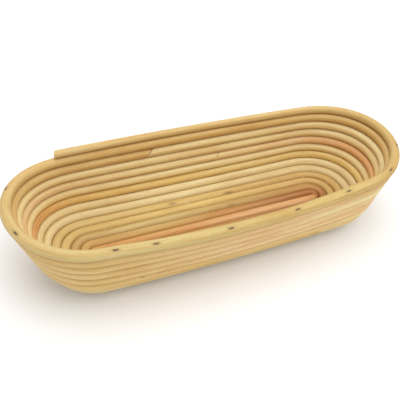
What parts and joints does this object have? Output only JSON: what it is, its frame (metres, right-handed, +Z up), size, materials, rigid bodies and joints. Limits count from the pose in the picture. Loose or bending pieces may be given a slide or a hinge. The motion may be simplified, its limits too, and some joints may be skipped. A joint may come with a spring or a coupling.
{
  "type": "banneton basket",
  "caption": "Long round-ended bread proofing basket wound from natural rattan cane, open at the top, with a flat floor and sloping ribbed walls.",
  "frame": {"origin": "centre of the basket's footprint, on the surface that it stands on", "axes": "+X along the basket, +Y across it towards the side where the rim cane is cut off, +Z up; the cut end is at the -X end of that side"},
  "size_m": [0.3645, 0.1379, 0.0794],
  "materials": {
    "floor_start_cane": "matte natural rattan with fine fibre grain",
    "floor_edge_cane": "matte natural rattan with fine fibre grain",
    "bend_cane": "matte natural rattan with fine fibre grain",
    "lower_wall_cane": "matte natural rattan with fine fibre grain",
    "upper_wall_cane": "matte natural rattan with fine fibre grain",
    "rim_cane": "matte natural rattan with fine fibre grain",
    "staple_wire": "dull, slightly tarnished steel wire"
  },
  "bodies": {
    "root": {"floor_start_cane": "floor_start_cane", "floor_edge_cane": "floor_edge_cane", "bend_cane": "bend_cane", "lower_wall_cane": "lower_wall_cane", "upper_wall_cane": "upper_wall_cane", "rim_cane": "rim_cane", "staples_1": "staple_wire", "staples_2": "staple_wire", "staples_3": "staple_wire", "staples_4": "staple_wire", "staples_5": "staple_wire", "staples_6": "staple_wire", "staples_7": "staple_wire", "staples_8": "staple_wire", "staples_9": "staple_wire", "staples_10": "staple_wire", "staples_11": "staple_wire", "rim_staples": "staple_wire"}
  },
  "joints": []
}
